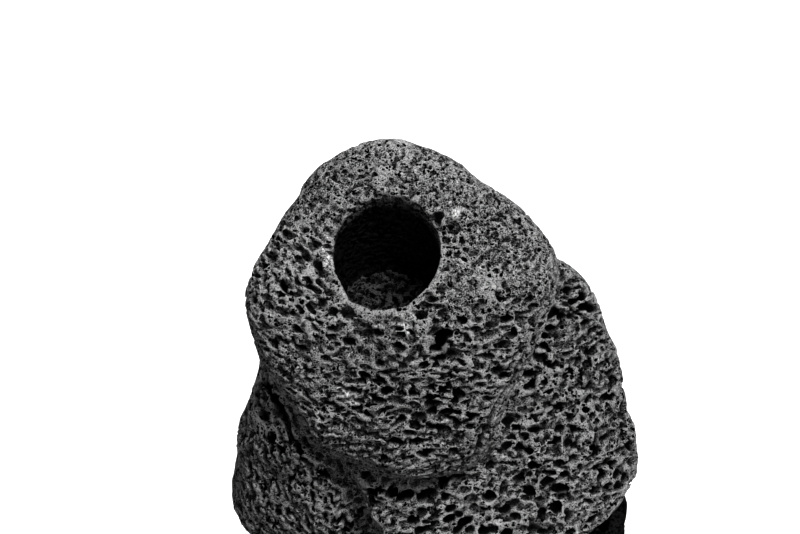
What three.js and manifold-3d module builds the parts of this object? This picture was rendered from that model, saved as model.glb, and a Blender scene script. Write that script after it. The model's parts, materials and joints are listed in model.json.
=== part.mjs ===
// A lump of bubbly basalt with a round candle socket drilled into its head and a flat sawn base.
// Millimetres, +Z up. -Y is the front, the side that the head leans towards. The stone is built
// around the socket's axis, then moved so that the origin is on the base at the middle of its box.

import * as THREE from "three";
import { mergeVertices } from "three/addons/utils/BufferGeometryUtils.js";
import Module from "manifold-3d";

// The socket: a straight vertical hole, which runs out through the slope on top of the head.
const SOCKET_DIAMETER = 25;
const SOCKET_FLOOR_HEIGHT = 54;
const SOCKET_SIDES = 56;
const SOCKET_CORNER = 1.5;

// The saw cut that the stone stands on, and the block that stands for what was cut away.
const BASE_HEIGHT = -12;
const WASTE_SIZE = 300;

// How hard the flats of a lump meet: a high number gives crisp edges, a low one round shoulders.
const WORN = 8;
const CRISP = 40;

// Slow swells of the whole surface, as [size of the swell, length from crest to crest].
const SWELLS = [
  [1.5, 37],
  [0.7, 19],
];

// The stone is four lumps that cooled together. A lump is a rounded block around its middle, and
// each of its flats is [turn, tilt, reach]: the way it faces in the plan (0 is +X, 90 is +Y), how
// far it leans up, and how far it lies from the middle.

// The head and the belly under it, with the slope that the socket is drilled into.
const head = {
  middle: [2, 0, 48],
  edge: WORN,
  fineness: 12,
  flats: [
    [-90, 64, 24],
    [95, 45, 54],
    [48, 33, 41],
    [154, 24, 38],
    [135, 0, 42.5],
    [180, 0, 39.5],
    [204, -19, 32.5],
    [-17, -14, 33],
    [-90, 30, 24],
    [-90, 3, 35],
    [-90, -50, 38],
    [0, 42, 50],
    [90, 8, 38.5],
    [48, -5, 46],
  ],
};

// The broad block on the right, which also runs on under the belly.
const shoulder = {
  middle: [18, 2, 18],
  edge: CRISP,
  fineness: 11,
  flats: [
    [-75, 48, 19.5],
    [-45, 38, 28],
    [22, 18, 40.5],
    [7, 6, 43],
    [-5, -3, 54],
    [-42, -58, 40.5],
    [-90, 25, 37],
    [-90, 0, 48],
    [-159, -17, 34],
    [90, 10, 30],
    [50, 40, 41],
    [120, 30, 34],
    [180, 20, 34],
    [0, -90, 40],
  ],
};

// The lobe low on the left, set back from the belly.
const lobe = {
  middle: [-10, -2, 18],
  edge: WORN,
  fineness: 9,
  flats: [
    [166, 12, 24],
    [180, 0, 41],
    [-165, -36, 43],
    [-138, 26, 30.5],
    [-110, 10, 32.5],
    [-90, 0, 34],
    [-50, 20, 20],
    [90, 10, 30],
    [135, 15, 30],
    [0, 0, 18],
    [0, 90, 22],
    [0, -90, 36],
  ],
};

// The dark foot that shows under the right block's overhang.
const foot = {
  middle: [38, -14, -6],
  edge: WORN,
  fineness: 8,
  flats: [
    [-5, 20, 26.5],
    [35, 14, 22],
    [-40, 8, 26],
    [-90, 5, 22],
    [0, 90, 2.5],
    [90, 0, 20],
    [180, 0, 30],
    [0, -90, 20],
  ],
};

function facing(turn, tilt) {
  const flat = Math.cos(THREE.MathUtils.degToRad(tilt));
  const around = THREE.MathUtils.degToRad(turn);
  const rise = Math.sin(THREE.MathUtils.degToRad(tilt));
  return new THREE.Vector3(flat * Math.cos(around), flat * Math.sin(around), rise);
}

// The height of the slow swells at a point of the stone: three trains of waves, which cross.
function swellAt(point) {
  let height = 0;
  SWELLS.forEach(([size, length], k) => {
    const turn = (2 * Math.PI) / length;
    const waves = [
      Math.sin(turn * point.x + 1.3 * k),
      Math.sin(turn * (0.8 * point.y + 0.6 * point.z) + 2.1),
      Math.sin(turn * (0.8 * point.z - 0.6 * point.x) + 0.7 * k),
    ];
    height += (size * (waves[0] + waves[1] + waves[2])) / waves.length;
  });
  return height;
}

// A ball whose surface is pushed out to the flats of a lump.
function lumpGeometry({ middle, edge, fineness, flats }) {
  const geometry = new THREE.IcosahedronGeometry(1, fineness);
  const centre = new THREE.Vector3(...middle);
  const planes = flats.map(([turn, tilt, reach]) => facing(turn, tilt).divideScalar(reach));
  const position = geometry.getAttribute("position");
  const ray = new THREE.Vector3();
  for (let i = 0; i < position.count; i += 1) {
    ray.fromBufferAttribute(position, i).normalize();
    const pull = planes.reduce((sum, plane) => sum + Math.max(0, ray.dot(plane)) ** edge, 0);
    const point = ray.clone().multiplyScalar(pull ** (-1 / edge)).add(centre);
    point.addScaledVector(ray, swellAt(point));
    position.setXYZ(i, point.x, point.y, point.z);
  }
  return geometry;
}

// The drilled hole as the shape of its drill: a round bar with a slightly rounded end.
function drillGeometry() {
  const radius = SOCKET_DIAMETER / 2;
  const corner = radius - SOCKET_CORNER;
  const profile = [
    new THREE.Vector2(0, SOCKET_FLOOR_HEIGHT),
    new THREE.Vector2(corner, SOCKET_FLOOR_HEIGHT),
    new THREE.Vector2(radius - 0.3 * SOCKET_CORNER, SOCKET_FLOOR_HEIGHT + 0.3 * SOCKET_CORNER),
    new THREE.Vector2(radius, SOCKET_FLOOR_HEIGHT + SOCKET_CORNER),
    new THREE.Vector2(radius, WASTE_SIZE),
    new THREE.Vector2(0, WASTE_SIZE),
  ];
  return new THREE.LatheGeometry(profile, SOCKET_SIDES).rotateX(Math.PI / 2);
}

// What the saw took off below the base.
function wasteGeometry() {
  const waste = new THREE.BoxGeometry(WASTE_SIZE, WASTE_SIZE, WASTE_SIZE);
  return waste.translate(0, 0, BASE_HEIGHT - WASTE_SIZE / 2);
}

const wasm = await Module();
wasm.setup();

function solid(geometry) {
  geometry.deleteAttribute("normal");
  geometry.deleteAttribute("uv");
  const merged = mergeVertices(geometry, 1e-3);
  return new wasm.Manifold(
    new wasm.Mesh({
      numProp: 3,
      vertProperties: merged.getAttribute("position").array,
      triVerts: new Uint32Array(merged.index.array),
    }),
  );
}

function geometryOf(body) {
  const { vertProperties, triVerts } = body.getMesh();
  const geometry = new THREE.BufferGeometry();
  geometry.setAttribute("position", new THREE.BufferAttribute(vertProperties, 3));
  geometry.setIndex(new THREE.BufferAttribute(triVerts, 1));
  return geometry;
}

// The stone: the lumps grown together, then the socket drilled and the base sawn.
function stoneGeometry() {
  const grown = [shoulder, lobe, foot].reduce(
    (body, lump) => body.add(solid(lumpGeometry(lump))),
    solid(lumpGeometry(head)),
  );
  const drilled = grown.subtract(solid(drillGeometry()));
  const geometry = geometryOf(drilled.subtract(solid(wasteGeometry())));
  geometry.computeBoundingBox();
  const middle = geometry.boundingBox.getCenter(new THREE.Vector3());
  return geometry.translate(-middle.x, -middle.y, -BASE_HEIGHT);
}

const basalt = new THREE.MeshStandardMaterial({ color: 0x2b2b2b, roughness: 0.95, metalness: 0 });

const stone = new THREE.Mesh(stoneGeometry(), basalt);
stone.name = "lava_rock";

const part = new THREE.Group();
part.add(stone);

export default part;
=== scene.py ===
import json
import math

import bpy
import numpy as np
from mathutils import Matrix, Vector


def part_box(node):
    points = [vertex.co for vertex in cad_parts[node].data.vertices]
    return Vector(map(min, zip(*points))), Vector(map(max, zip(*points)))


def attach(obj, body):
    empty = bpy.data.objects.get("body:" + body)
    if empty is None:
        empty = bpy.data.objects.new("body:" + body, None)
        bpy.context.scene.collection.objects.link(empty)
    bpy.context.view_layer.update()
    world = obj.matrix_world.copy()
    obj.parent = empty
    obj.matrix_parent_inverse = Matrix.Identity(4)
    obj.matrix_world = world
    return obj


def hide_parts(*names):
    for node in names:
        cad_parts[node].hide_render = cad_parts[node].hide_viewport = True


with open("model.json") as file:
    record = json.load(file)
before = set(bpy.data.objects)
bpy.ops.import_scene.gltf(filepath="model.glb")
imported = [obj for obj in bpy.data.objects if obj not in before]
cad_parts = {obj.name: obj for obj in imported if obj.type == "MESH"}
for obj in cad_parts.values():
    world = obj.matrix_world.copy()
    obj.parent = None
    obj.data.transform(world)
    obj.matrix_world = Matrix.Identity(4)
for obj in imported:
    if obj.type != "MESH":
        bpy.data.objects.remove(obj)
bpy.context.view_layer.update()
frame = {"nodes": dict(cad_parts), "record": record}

import openvdb as vdb
from mathutils import Vector


# The stone. One lump of dark basalt, which cooled while it was full of gas. The solid in the frame
# gives its outline, and its bubbles are cut out on a fine grid, in millimetres. There a number
# below zero is stone and one above zero is air, as far from the skin as the number says.
MM = 0.001
chance = np.random.default_rng(11)

solid = frame["nodes"]["lava_rock"]
base_corner, top_corner = (np.array(corner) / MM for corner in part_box("lava_rock"))
socket_low, socket_high = (
    np.array(corner) / MM for corner in frame["record"]["physics"]["openings"][0]["box_m"]
)
socket_axis = (socket_low + socket_high)[:2] / 2
SOCKET_RADIUS = 12.5
SOCKET_FLOOR = 66.0

# The rough grid holds the solid's own outline, and the fine grid holds the finished skin. The
# rough one reaches a few steps further on every side, because a spline needs its neighbours.
ROUGH_STEP = 1.0
FINE_STEP = 0.25
MARGIN = 5
OUTLINE_REACH = 9.0
KNOT_STRENGTH = 1.9
STEPS = round(ROUGH_STEP / FINE_STEP)
rough_start = np.floor(base_corner / ROUGH_STEP).astype(int) - MARGIN
rough_count = np.ceil(top_corner / ROUGH_STEP).astype(int) + MARGIN + 1 - rough_start
fine_count = (rough_count - 5) * STEPS + 1
fine_start = (rough_start + 2) * ROUGH_STEP


def corners_and_triangles(mesh):
    """A mesh's points, and the three points of each of its triangles."""
    points = np.empty(len(mesh.vertices) * 3, np.float32)
    mesh.vertices.foreach_get("co", points)
    mesh.calc_loop_triangles()
    triangles = np.empty(len(mesh.loop_triangles) * 3, np.int32)
    mesh.loop_triangles.foreach_get("vertices", triangles)
    return points.reshape(-1, 3), triangles.reshape(-1, 3)


def outline_of(mesh):
    """How far each point of the rough grid is from the solid's skin."""
    points, triangles = corners_and_triangles(mesh)
    shell = vdb.FloatGrid.createLevelSetFromPolygons(
        points / MM,
        triangles=triangles.astype(np.uint32),
        transform=vdb.createLinearTransform(voxelSize=ROUGH_STEP),
        halfWidth=OUTLINE_REACH,
    )
    values = np.zeros(tuple(rough_count), np.float32)
    shell.copyToArray(values, ijk=tuple(int(k) for k in rough_start))
    return values


def refine(values, steps):
    """A rough grid's values as a smooth field on the fine grid, by a cubic spline each way."""
    for axis in (2, 1, 0):
        along = 2 + np.arange(fine_count[axis]) / steps
        knot = along.astype(int)
        t = (along - knot).astype(np.float32).reshape([-1 if k == axis else 1 for k in range(3)])
        shares = ((1 - t) ** 3, 3 * t**3 - 6 * t**2 + 4, 3 * (t + t**2 - t**3) + 1, t**3)
        values = sum(
            share / 6 * values.take(knot + offset, axis) for offset, share in enumerate(shares, -1)
        )
    return values


def ripple(length):
    """A smooth random field with a spread of about 1 and swells of the given length."""
    steps = length / FINE_STEP
    knots = [int(np.ceil(count / steps)) + 5 for count in fine_count]
    return refine(chance.standard_normal(knots).astype(np.float32) * KNOT_STRENGTH, steps)


# The skin. The outline with its flats softened, then roughened by slow swells and small knocks.
# The socket was drilled and the base was sawn after the stone had cooled, so both stay true.
# Each swell is given as its height and its length.
SWELLS = ((0.45, 9.0), (0.30, 4.0), (0.16, 1.5))


def ease(value, low, high):
    """Goes smoothly from 0 at the low value to 1 at the high one."""
    t = np.clip((value - low) / (high - low), 0, 1)
    return t * t * (3 - 2 * t)


def value_at(field, spots, step=FINE_STEP):
    """The field's value at each spot, in a straight line between the grid's eight nearest."""
    place = np.clip((spots - fine_start) / step, 0, np.array(field.shape) - 1.001)
    cell = place.astype(int)
    t = place - cell
    total = 0
    for corner in np.ndindex(2, 2, 2):
        share = np.prod(np.where(corner, t, 1 - t), axis=1)
        total = total + share * field[tuple((cell + corner).T)]
    return total


skin = refine(outline_of(solid.data), STEPS)
for swell, length in SWELLS:
    skin += swell * ripple(length)

x_mm, y_mm, z_mm = (
    (fine_start[k] + FINE_STEP * np.arange(fine_count[k])).astype(np.float32) for k in range(3)
)
from_axis = np.hypot(x_mm[:, None] - socket_axis[0], y_mm[None, :] - socket_axis[1])
bored = np.maximum(from_axis[:, :, None] - SOCKET_RADIUS, SOCKET_FLOOR - z_mm)
skin = np.maximum(skin, -bored)
skin = np.maximum(skin, -z_mm)


# The bubbles. Gas that was trapped as the lava stiffened, drawn out flat and level by its flow.
# They are blown one at a time, from the largest down, where there is still room between the
# others, and each opens through the skin. The crown has the finest ones.
FAR_FROM_AIR = 1.5
BUBBLE_REACH = 1.6
RAGGED = 0.42
RAGGED_LENGTH = 2.2
air = np.full(skin.shape, FAR_FROM_AIR, np.float32)
warp = [RAGGED * ripple(RAGGED_LENGTH) for axis in range(3)]


def spots_on_skin(count):
    """Random points over the solid's skin, in millimetres, with the way each faces."""
    points, triangles = corners_and_triangles(solid.data)
    a, b, c = (points[triangles[:, k]] / MM for k in range(3))
    across = np.cross(b - a, c - a)
    area = np.linalg.norm(across, axis=1)
    pick = chance.choice(len(triangles), count, p=area / area.sum())
    s, t = chance.random((2, count, 1))
    over = s + t > 1
    s, t = np.where(over, 1 - s, s), np.where(over, 1 - t, t)
    spots = a[pick] + s * (b - a)[pick] + t * (c - a)[pick]
    return spots, across[pick] / area[pick, None]


def blow(middle, half, turn):
    """Opens one bubble: an egg with the given half sizes, turned by a 3 x 3 rotation."""
    reach = np.sqrt((turn**2) @ (half**2)) + BUBBLE_REACH
    low = np.maximum(np.floor((middle - reach - fine_start) / FINE_STEP).astype(int), 0)
    high = np.minimum(np.ceil((middle + reach - fine_start) / FINE_STEP).astype(int) + 1, fine_count)
    if np.any(high <= low):
        return
    box = tuple(slice(l, h) for l, h in zip(low, high))
    x, y, z = (axis[part] - m for axis, part, m in zip((x_mm, y_mm, z_mm), box, middle))
    x, y, z = x[:, None, None] + warp[0][box], y[None, :, None] + warp[1][box], z + warp[2][box]
    near = far = 0
    for k in range(3):
        q = (turn[0, k] * x + turn[1, k] * y + turn[2, k] * z) / half[k]
        near = near + q * q
        far = far + (q / half[k]) ** 2
    near = np.sqrt(near)
    air[box] = np.minimum(air[box], near * (near - 1) / np.sqrt(far + 1e-6))


def level(heading, tilt):
    """A rotation whose third way is upright but for the tilt, with its first at the heading."""
    up = np.array([tilt[0], tilt[1], 1.0])
    up /= np.linalg.norm(up)
    out = np.array([math.cos(heading), math.sin(heading), 0.0])
    out -= up * out.dot(up)
    out /= np.linalg.norm(out)
    return np.stack([out, np.cross(up, out), up], 1)


# The large hollows, each as its middle and its half sizes: the deep one in the brow under the
# socket, a smaller one that breaks into it, one beside it, and the flat ones under the belly and
# along the ledge.
HOLLOWS = (
    ((0.0, -16.6, 75.0), (1.9, 2.4, 1.9)),
    ((1.7, -15.4, 76.5), (1.4, 2.0, 1.3)),
    ((4.6, -13.6, 78.4), (1.6, 1.3, 1.0)),
    ((-12.9, -30.4, 42.3), (2.6, 2.6, 1.3)),
    ((-16.0, -28.5, 31.4), (3.0, 2.8, 1.4)),
    ((-9.0, -29.5, 29.8), (3.4, 2.6, 1.4)),
    ((-2.4, -29.8, 29.6), (3.2, 2.6, 1.2)),
    ((8.7, -30.0, 27.0), (2.6, 2.0, 1.2)),
)

# The creases, each as half its width and the places that it runs through: the valley down to the
# left lobe, the one between the head and the block, the one under the belly, and three short
# grooves behind the socket.
CREASES = (
    (1.1, (-41.5, -10.0, 49.0), (-39.6, -14.4, 48.6), (-37.0, -20.7, 47.0), (-34.6, -24.7, 44.2),
     (-31.1, -26.7, 39.0), (-26.4, -27.0, 33.0)),
    (0.6, (24.6, -6.1, 80.0), (21.1, -13.3, 74.0), (18.9, -17.4, 67.8)),
    (1.1, (18.9, -17.4, 67.8), (14.3, -23.0, 59.6), (10.8, -27.6, 54.0), (8.6, -30.0, 47.5),
     (7.5, -30.0, 43.5)),
    (0.9, (-20.1, -29.2, 44.2), (-14.1, -30.6, 44.6), (-6.9, -31.5, 44.6), (0.3, -31.3, 43.8)),
    (0.55, (-23.9, 12.1, 90.6), (-22.0, 14.2, 91.5), (-19.4, 15.9, 92.4), (-16.4, 17.1, 93.2)),
    (0.45, (-15.9, 18.0, 93.6), (-13.1, 18.9, 94.3), (-10.7, 19.4, 94.7)),
    (0.45, (-11.6, 14.8, 92.8), (-9.3, 15.6, 93.3), (-6.7, 16.3, 93.5)),
)

for middle, half in HOLLOWS:
    blow(np.array(middle), np.array(half), level(0.0, (0.0, 0.0)))
for width, *steps in CREASES:
    for start, end in zip(np.array(steps), np.array(steps[1:])):
        for t in np.arange(0, 1, width / np.linalg.norm(end - start)):
            blow(start + t * (end - start), np.full(3, width * chance.uniform(0.8, 1.2)), np.eye(3))

# Where each region of the stone begins or ends: the crown, the broad block and the stone's skirt,
# the left lobe, and the left flank of the head. A pair is the stretch over which it fades, in
# height for a top or a foot, and otherwise out from the socket's axis or, for the lobe, the middle.
CROWN_FOOT = (76, 83)
CROWN_RIGHT = (4, 20)
CROWN_BACK = (4, 14)
BLOCK_LEFT = (22, 34)
BLOCK_TOP = (62, 74)
SKIRT_TOP = (28, 38)
LOBE_RIGHT = (12, 20)
LOBE_TOP = (38, 48)
FLANK_RIGHT = (8, 16)
FLANK_FOOT = (52, 62)
FLANK_BACK = 8

CANDIDATES = 130000
spots, faces = spots_on_skin(CANDIDATES)
spots = spots - faces * value_at(skin, spots)[:, None]
beside = spots[:, :2] - socket_axis
height = spots[:, 2]
crown = np.maximum(ease(beside[:, 0], *CROWN_RIGHT), ease(beside[:, 1], *CROWN_BACK))
crown = ease(height, *CROWN_FOOT) * crown
block = ease(beside[:, 0], *BLOCK_LEFT) * (1 - ease(height, *BLOCK_TOP))
block = np.maximum(block, 1 - ease(height, *SKIRT_TOP))
lobe = ease(-spots[:, 0], *LOBE_RIGHT) * (1 - ease(height, *LOBE_TOP)) * (spots[:, 1] < 0)
flank = ease(-beside[:, 0], *FLANK_RIGHT) * ease(height, *FLANK_FOOT) * (beside[:, 1] < FLANK_BACK)
SAWN_TOP = 1
WALL_REACH = 0.3
sawn = height < SAWN_TOP
drilled = np.hypot(*beside.T) < SOCKET_RADIUS + WALL_REACH

# Each bubble's half length, how long and how flat it is across that, how deep its middle sits, how
# much stone it leaves to the next one, and how it lies. They lie level and run round the stone,
# but upright on the left lobe and slanting down to the right on the head's left flank.
USUAL_HALF = 0.67
SMALLEST_HALF = 0.47
LARGEST_HALF = 2.0
LARGEST_DRILLED = 1.0
THINNEST_HALF = 0.27
LOBE_TILT = (2.0, -1.4)
FLANK_TILT = (0.6, 0.43)
BLOCK_TILT = (-0.1, 0.3)
FLANK_HEADING = -0.6
wide = np.exp(chance.normal(0, 0.42, CANDIDATES)) * (USUAL_HALF - 0.22 * crown)
largest = np.where(drilled, LARGEST_DRILLED, LARGEST_HALF - 1.2 * crown)
wide = np.clip(wide, SMALLEST_HALF, largest)
flat = chance.uniform(0.32, 0.54, CANDIDATES) - 0.05 * lobe
flat += 0.34 * faces[:, 2] ** 2 * (1 - 0.8 * flank)
long = chance.uniform(0.45, 0.95, CANDIDATES) * (1 - 0.2 * flank)
sink = chance.uniform(0.1, 0.75, CANDIDATES)
gap = chance.uniform(-0.16, 0.14, CANDIDATES)
tilt = chance.normal(0, 0.17, (CANDIDATES, 2)) + np.outer(lobe, LOBE_TILT)
tilt += np.outer(flank, FLANK_TILT) + np.outer(block, BLOCK_TILT)
heading = np.arctan2(faces[:, 0], -faces[:, 1]) * (1 - flank) + FLANK_HEADING * flank
heading += chance.normal(0, 0.3, CANDIDATES)

# Nearly all are left out on the sawn base, some on the crown and a few in the drilled wall.
left_out = np.where(sawn, 0.97, np.where(drilled, 0.2, 0.35 * crown))
keep_off = chance.random(CANDIDATES) < left_out

# A bubble needs some stone between it and the next, and enough stone behind it for a wall.
APART = 0.62
WALL = 0.4
STONE_BEHIND = 0.7
for k in np.argsort(-wide):
    if keep_off[k]:
        continue
    half = np.array([wide[k], wide[k] * long[k], max(wide[k] * flat[k], THINNEST_HALF)])
    turn = level(heading[k], tilt[k])
    deep = math.sqrt(((turn.T @ faces[k]) ** 2 * half**2).sum())
    middle = spots[k] - faces[k] * deep * sink[k]
    ends = np.array([middle, middle - faces[k] * (deep + WALL)])
    cell = np.rint((ends - fine_start) / FINE_STEP).astype(int)
    at_middle, past_end = np.clip(cell, 0, fine_count - 1)
    if air[tuple(at_middle)] < APART * half[2] + gap[k]:
        continue
    if skin[tuple(past_end)] > -STONE_BEHIND * (deep * (1 + sink[k]) + WALL):
        continue
    blow(middle, half, turn)

# The walls between the bubbles are roughened.
WALL_ROUGHNESS = 0.14
WALL_GRAIN = 0.9
air += WALL_ROUGHNESS * ripple(WALL_GRAIN)


# The stone's own mesh, which stands for the plain solid. The surface between stone and air is
# drawn from the grid, then thinned until it is light enough to handle, and more of it is taken
# from the walls deeper than DEEP, so that the edges at the skin stay sharp.
TRIANGLES = 198500
DEEP = 1.0
THIN_AT_SKIN = 0.1
THIN_DEEP = 1.0
SKIN_FIRST = 0.02
BAND = 3 * FINE_STEP

rock = np.maximum(skin, -air)
grid = vdb.FloatGrid(BAND)
grid.transform = vdb.createLinearTransform(voxelSize=FINE_STEP)
first_cell = tuple(int(k) for k in np.rint(fine_start / FINE_STEP))
grid.copyFromArray(np.clip(rock, -BAND, BAND), ijk=first_cell)
points, quads = grid.convertToQuads(0.0)


def mesh_of(name, points, faces):
    """A mesh made of the points and of faces that all have the same number of corners."""
    mesh = bpy.data.meshes.new(name)
    mesh.vertices.add(len(points))
    mesh.vertices.foreach_set("co", points.astype(np.float32).ravel())
    mesh.loops.add(faces.size)
    mesh.loops.foreach_set("vertex_index", faces.astype(np.int32).ravel())
    mesh.polygons.add(len(faces))
    mesh.polygons.foreach_set("loop_start", np.arange(0, faces.size, faces.shape[1], dtype=np.int32))
    mesh.update(calc_edges=True)
    return mesh


whole = bpy.data.objects.new("whole", mesh_of("whole", points, quads[:, ::-1]))
bpy.context.scene.collection.objects.link(whole)
pit = -value_at(skin, points)
weight = whole.vertex_groups.new(name="coarse")
weight.add(np.flatnonzero(pit < DEEP).tolist(), THIN_AT_SKIN, "REPLACE")
weight.add(np.flatnonzero(pit >= DEEP).tolist(), THIN_DEEP, "REPLACE")
thin = whole.modifiers.new("thin", "DECIMATE")
thin.ratio = TRIANGLES / (2 * len(quads))
thin.use_collapse_triangulate = True
thin.vertex_group = weight.name
thin.vertex_group_factor = SKIN_FIRST
thinned = whole.evaluated_get(bpy.context.evaluated_depsgraph_get()).to_mesh()
points, triangles = corners_and_triangles(thinned)
bpy.data.objects.remove(whole)


def largest_body(points, triangles):
    """Drops whatever isn't joined to the main stone, such as a crumb left loose in a bubble."""
    body = np.arange(len(points))
    a, b = np.concatenate([triangles[:, [0, 1]], triangles[:, [1, 2]]]).T
    while np.any(body[a] != body[b]):
        low, high = np.minimum(body[a], body[b]), np.maximum(body[a], body[b])
        np.minimum.at(body, high, low)
        while np.any(body[body] != body):
            body = body[body]
    keep = body == np.bincount(body).argmax()
    new = np.cumsum(keep) - 1
    return points[keep], new[triangles[keep[triangles[:, 0]]]]


points, triangles = largest_body(points, triangles)

# How closely stone crowds round each point of the skin: 0.5 on a flat, more in a hollow, less on
# a crest. It is the share of stone in a small cube around the point, on every other grid step.
CROWD_STEP = 2 * FINE_STEP
CROWD_REACH = 2
crowd = np.clip(0.5 - rock[::2, ::2, ::2] / CROWD_STEP, 0, 1)
for axis in range(3):
    run = np.cumsum(crowd, axis=axis, dtype=np.float64)
    run_ahead = np.roll(run, -CROWD_REACH, axis)
    run_behind = np.roll(run, CROWD_REACH + 1, axis)
    crowd = ((run_ahead - run_behind) / (2 * CROWD_REACH + 1)).clip(0, 1).astype(np.float32)
crowded = value_at(crowd, points, CROWD_STEP)
pit = -value_at(skin, points)

mesh = mesh_of("lava_stone", points * MM, triangles)
mesh.shade_smooth()
stone = bpy.data.objects.new("lava_stone", mesh)
bpy.context.scene.collection.objects.link(stone)
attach(stone, "root")
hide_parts("lava_rock")


# The face of the stone. Grey basalt, matt and gritty. Its crests are paler, partly from wear and
# partly as a painted highlight, and painted shade darkens its hollows, its fine pores, its bubbles
# the deeper they go, the drilled socket and the foot under the block. Small crystals sit in it here
# and there.
# The socket's rim slopes up to the back, and each crystal is given as its place and its size.
RIM_HEIGHT = 86.3
RIM_SLOPE = 0.494
WALL_BAND = 1
FLOOR_BELOW = 3
FLOOR_SHADE = 3.7
# The stretch of the foot under the block's overhang that is painted almost black, as painted shadow.
FOOT_SHADOW_LEFT = (28, 34)
FOOT_SHADOW_TOP = (8.5, 11)
FOOT_SHADOW_BACK = 10
CRYSTAL_REACH = 1.6
CRYSTALS = (
    ((-22.4, -23.8, 63.5), 1.3), ((-19.6, -24.6, 62.3), 1.1), ((-24.6, -29.0, 53.9), 0.9),
    ((-12.0, -29.0, 32.9), 0.9), ((-8.4, -15.1, 77.4), 1.0), ((-10.7, -16.0, 76.3), 0.8),
    ((-7.0, -13.4, 79.1), 1.0), ((-9.7, -13.0, 79.4), 0.7), ((-26.8, 4.8, 87.4), 0.8),
    ((-27.2, 2.0, 86.2), 1.0), ((-25.9, -0.8, 84.9), 1.2), ((4.1, 9.1, 90.4), 1.1),
    ((23.2, -20.9, 31.4), 0.9), ((30.8, -22.3, 28.6), 0.9), ((14.5, -33.2, 21.9), 1.0),
    ((2.0, -27.3, 57.6), 0.8), ((-0.3, -30.3, 52.4), 0.8), ((-28.6, -27.0, 57.6), 0.7),
    ((10.0, 40.5, 62.0), 1.0), ((-24.0, 38.0, 50.0), 0.9), ((44.0, 8.0, 40.0), 1.1),
)


def note_on_skin(name, values):
    """Writes one number for each point of the mesh, which the material reads by its name."""
    note = mesh.attributes.new(name, "FLOAT", "POINT")
    note.data.foreach_set("value", np.asarray(values, np.float32))


# The notes: how deep in a pit or in the socket a point lies, how closely stone crowds round it, and
# whether it is on a crystal or on the foot under the block's overhang, which is painted almost black
# as the shadow there. The socket's floor is noted as less deep than it is, because light reaches it,
# so its painted shade is lighter than the wall's.
off_axis = np.hypot(*(points[:, :2] - socket_axis).T)
rim = RIM_HEIGHT + RIM_SLOPE * (points[:, 1] - socket_axis[1])
# Painted shade: the socket is painted darker the deeper a point lies below its rim, and its floor,
# which the light reaches, is painted less dark than its wall.
down_socket = np.where(off_axis < SOCKET_RADIUS + WALL_BAND, rim - points[:, 2], 0)
down_socket[(off_axis < SOCKET_RADIUS - WALL_BAND) & (down_socket > FLOOR_BELOW)] = FLOOR_SHADE
# Painted shadow: the foot under the block's overhang is marked here, to be painted almost black.
foot_shadow = ease(points[:, 0], *FOOT_SHADOW_LEFT) * (1 - ease(points[:, 2], *FOOT_SHADOW_TOP))
foot_shadow = foot_shadow * (points[:, 1] < FOOT_SHADOW_BACK)
crystal = np.zeros(len(points))
for spot, size in CRYSTALS:
    crystal = np.maximum(crystal, CRYSTAL_REACH - np.linalg.norm(points - spot, axis=1) / size)
note_on_skin("pit", pit)
note_on_skin("crowd", crowded)
note_on_skin("down_socket", down_socket)
note_on_skin("foot_shadow", foot_shadow)
note_on_skin("crystal", crystal.clip(0, 1))

basalt = bpy.data.materials.new("lava_basalt")
basalt.use_nodes = True
tree = basalt.node_tree
shader = tree.nodes["Principled BSDF"]
place = tree.nodes.new("ShaderNodeTexCoord").outputs["Object"]


def give(value, socket):
    """Feeds a socket with another node's output, or sets it to a number or a grey."""
    if isinstance(value, bpy.types.NodeSocket):
        tree.links.new(value, socket)
    else:
        socket.default_value = value


def noise(size, detail, roughness, output="Fac"):
    """Cloudy noise over the stone, with patches of the given size in millimetres."""
    node = tree.nodes.new("ShaderNodeTexNoise")
    node.inputs["Scale"].default_value = 1 / (size * MM)
    node.inputs["Detail"].default_value = detail
    node.inputs["Roughness"].default_value = roughness
    give(place, node.inputs["Vector"])
    return node.outputs[output]


def spread(value, low, high, to_low=0.0, to_high=1.0):
    """Spreads the stretch from low to high over the stretch from to_low to to_high."""
    node = tree.nodes.new("ShaderNodeMapRange")
    node.inputs["From Min"].default_value = low
    node.inputs["From Max"].default_value = high
    node.inputs["To Min"].default_value = to_low
    node.inputs["To Max"].default_value = to_high
    give(value, node.inputs["Value"])
    return node.outputs["Result"]


def work(operation, a, b):
    """One sum on two values, such as adding them or taking the larger."""
    node = tree.nodes.new("ShaderNodeMath")
    node.operation = operation
    give(a, node.inputs[0])
    give(b, node.inputs[1])
    return node.outputs["Value"]


def blend(share, a, b):
    """Mixes two colours. A colour can be given as one number, for a grey."""
    node = tree.nodes.new("ShaderNodeMix")
    node.data_type = "RGBA"
    give(share, node.inputs["Factor"])
    first_colour, second_colour, mixed = node.inputs[6], node.inputs[7], node.outputs[2]
    for value, socket in ((a, first_colour), (b, second_colour)):
        give((value, value, value, 1) if isinstance(value, float) else value, socket)
    return mixed


def noted(name):
    """A number that was written on the mesh."""
    node = tree.nodes.new("ShaderNodeAttribute")
    node.attribute_name = name
    return node.outputs["Fac"]


# The finest pores are flattened like the bubbles, and bent a little so that none is quite round.
PORE_BEND = 0.9
PORE_FLATNESS = 1.7
bend = tree.nodes.new("ShaderNodeVectorMath")
bend.operation = "MULTIPLY_ADD"
give(noise(PORE_BEND, 1.0, 0.5, output="Color"), bend.inputs[0])
bend.inputs[1].default_value = (PORE_BEND * MM, PORE_BEND * MM, PORE_BEND * MM)
give(place, bend.inputs[2])
press = tree.nodes.new("ShaderNodeMapping")
press.inputs["Scale"].default_value = (1, 1, PORE_FLATNESS)
give(bend.outputs["Vector"], press.inputs["Vector"])


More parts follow.
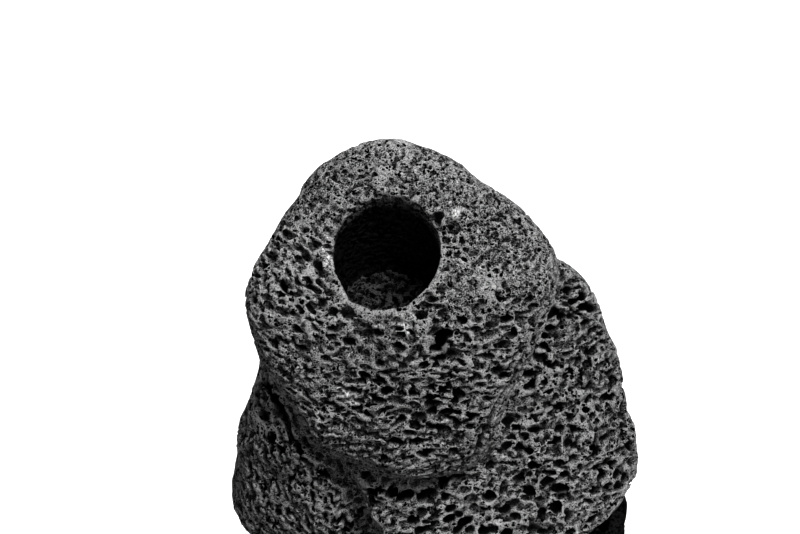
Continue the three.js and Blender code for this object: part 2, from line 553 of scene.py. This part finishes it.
def cells(size, at):
    """Random cells of the given size: the distance to a cell's middle, and the cell's own lots."""
    node = tree.nodes.new("ShaderNodeTexVoronoi")
    node.inputs["Scale"].default_value = 1 / (size * MM)
    give(at, node.inputs["Vector"])
    lots = tree.nodes.new("ShaderNodeSeparateColor")
    give(node.outputs["Color"], lots.inputs["Color"])
    return node.outputs["Distance"], lots.outputs


def pores(size, small, large):
    """One pore in each cell of the given size. Its radius differs from cell to cell."""
    distance, lots = cells(size, press.outputs["Vector"])
    radius = spread(lots["Red"], 0.0, 1.0, small, large)
    return spread(work("SUBTRACT", distance, radius), -0.04, 0.05, 1.0, 0.0)


def specks(size, share):
    """Tiny pale grains, in the given share of cells of the given size."""
    lots = cells(size, place)[1]
    return spread(lots["Green"], 1 - share, 1 - share / 2)


grit = noise(0.34, 2.0, 0.75)
mottle = noise(1.7, 3.0, 0.65)
patch = noise(22.0, 2.0, 0.5)
pore = work("MAXIMUM", pores(1.5, -0.05, 0.40), pores(0.8, -0.1, 0.45))

# The greys of the stone, from its darkest face to its palest, and of what is in it, where the pores,
# bubbles, socket and foot are painted dark as shade.
DARK_FACE = 0.003
PALE_FACE = 0.34
PORE_SHADE = 0.002
BUBBLE_SHADE = 0.002
SOCKET_SHADE = 0.001
FOOT_SHADOW_GREY = 0.0
SPECK = 0.45
CRYSTAL = 0.75

# The tone goes from dark to pale with the grit, with larger patches, and from hollow to crest:
# painted shade in the hollows, and crests that are paler partly from wear and partly as painted
# highlight.
tone = work("ADD", spread(grit, 0.36, 0.64, -0.8, 0.8), spread(mottle, 0.3, 0.7, -0.3, 0.3))
tone = work("ADD", tone, spread(patch, 0.35, 0.65, -0.15, 0.15))
# Painted shade and highlight: darker where stone crowds round a point, paler where little is near.
tone = work("ADD", tone, spread(noted("crowd"), 0.30, 0.62, 0.6, -0.3))
face = blend(spread(tone, -0.55, 0.85), DARK_FACE, PALE_FACE)
# Painted shade: the fine pores, which are only bumps, are painted nearly black.
face = blend(pore, face, PORE_SHADE)
face = blend(work("MULTIPLY", specks(0.5, 0.03), 0.7), face, SPECK)
# Painted shade: the bubbles are painted darker the deeper a point lies below the skin.
face = blend(spread(noted("pit"), 0.25, 1.5), face, BUBBLE_SHADE)
sparkle = work("MULTIPLY", noted("crystal"), spread(noise(0.55, 2.0, 0.7), 0.42, 0.58))
face = blend(sparkle, face, CRYSTAL)
# Painted shade: the socket's wall grows darker with depth, and its floor only a little.
face = blend(spread(noted("down_socket"), 0.2, 5.0, 0.0, 0.95), face, SOCKET_SHADE)
# Painted shadow: the foot under the block's overhang is painted almost black.
face = blend(spread(noted("foot_shadow"), 0.0, 1.0, 0.0, 0.93), face, FOOT_SHADOW_GREY)
give(face, shader.inputs["Base Color"])

# The faint shine of the open faces, which stops inside pores, bubbles and the socket.
SHINE = 0.25
dull = work("MAXIMUM", spread(noted("down_socket"), 0.2, 2.0), noted("foot_shadow"))
dull = work("MAXIMUM", dull, work("MAXIMUM", pore, spread(noted("pit"), 0.6, 2.0)))
give(spread(dull, 0.0, 1.0, SHINE, 0.0), shader.inputs["Specular IOR Level"])
give(spread(grit, 0.35, 0.75, 0.95, 0.6), shader.inputs["Roughness"])

# The grit stands up from the face and the fine pores are sunk into it.
RELIEF = 1.0
relief = tree.nodes.new("ShaderNodeBump")
relief.inputs["Distance"].default_value = RELIEF * MM
bumps = work("SUBTRACT", work("MULTIPLY", grit, 0.55), work("MULTIPLY", pore, 0.4))
give(bumps, relief.inputs["Height"])
give(relief.outputs["Normal"], shader.inputs["Normal"])
mesh.materials.append(basalt)


# The floor. A sweep of plain white paper, which runs out of sight on every side. It looks white
# and shadowless because it glows, but only a little of its glow reaches the stone.
PAPER_SIZE = 6.0
PAPER_GREY = 0.1
GLOW_ON_STONE = 0.15
GLOW_SEEN = 1.0
bpy.ops.mesh.primitive_plane_add(size=PAPER_SIZE)
floor = bpy.context.object
floor.name = "studio_floor"
paper = bpy.data.materials.new("white_paper")
paper.use_nodes = True
sheet = paper.node_tree.nodes["Principled BSDF"]
sheet.inputs["Base Color"].default_value = (PAPER_GREY, PAPER_GREY, PAPER_GREY, 1)
sheet.inputs["Roughness"].default_value = 0.9
sheet.inputs["Specular IOR Level"].default_value = 0.0
sheet.inputs["Emission Color"].default_value = (1, 1, 1, 1)
glow = paper.node_tree.nodes.new("ShaderNodeLightPath")
glow_level = paper.node_tree.nodes.new("ShaderNodeMapRange")
glow_level.inputs["To Min"].default_value = GLOW_ON_STONE
glow_level.inputs["To Max"].default_value = GLOW_SEEN
paper.node_tree.links.new(glow.outputs["Is Camera Ray"], glow_level.inputs["Value"])
paper.node_tree.links.new(glow_level.outputs["Result"], sheet.inputs["Emission Strength"])
floor.data.materials.append(paper)


# The light. A large soft lamp high on the right, a faint one in front and a broad one low behind
# the stone, in a white room that adds a little fill. Each lamp is given as where it shines from,
# its power and its width in degrees.
ROOM_FILL = 0.08
LAMPS = {
    "soft_overhead": ((0.40, -0.12, 0.91), 4.7, 26),
    "soft_front": ((-0.10, -0.80, 0.60), 0.9, 60),
    "soft_back": ((-0.20, 0.88, 0.42), 2.5, 60),
}

for name, (source, power, degrees) in LAMPS.items():
    lamp = bpy.data.lights.new(name, "SUN")
    lamp.energy = power
    lamp.angle = math.radians(degrees)
    lamp_stand = bpy.data.objects.new(name, lamp)
    lamp_stand.rotation_euler = Vector(source).to_track_quat("Z", "Y").to_euler()
    bpy.context.scene.collection.objects.link(lamp_stand)

room = bpy.data.worlds.new("white_room")
room.use_nodes = True
walls = room.node_tree.nodes["Background"]
walls.inputs["Color"].default_value = (1, 1, 1, 1)
seen = room.node_tree.nodes.new("ShaderNodeLightPath")
fill = room.node_tree.nodes.new("ShaderNodeMapRange")
fill.inputs["To Min"].default_value = ROOM_FILL
room.node_tree.links.new(seen.outputs["Is Camera Ray"], fill.inputs["Value"])
room.node_tree.links.new(fill.outputs["Result"], walls.inputs["Strength"])
bpy.context.scene.world = room


# The camera. It looks down at the stone from the front and above, over the tilted rim and into the
# socket, which is a little left of the middle of its view.
LENS = 85
SENSOR = 36
AIM_HEIGHT = 86.0
DOWN = math.radians(50)
DISTANCE = 0.441
ASIDE = 0.003035
LOWER = 0.0035
ahead = Vector((0, math.cos(DOWN), -math.sin(DOWN)))
above = Vector((0, math.sin(DOWN), math.cos(DOWN)))
lens = bpy.data.cameras.new("camera")
lens.lens = LENS
lens.sensor_width = SENSOR
lens.clip_start = 0.01
camera = bpy.data.objects.new("camera", lens)
aim = Vector((*socket_axis, AIM_HEIGHT)) * MM
camera.location = aim - ahead * DISTANCE + Vector((ASIDE, 0, 0)) - above * LOWER
camera.rotation_euler = ahead.to_track_quat("-Z", "Y").to_euler()
bpy.context.scene.collection.objects.link(camera)
bpy.context.scene.camera = camera

# The picture's tones. The gamma is under 1, which deepens the stone's dark greys.
GAMMA = 0.68
EXPOSURE = 0.4
view = bpy.context.scene.view_settings
view.view_transform = "Standard"
view.gamma = GAMMA
view.exposure = EXPOSURE
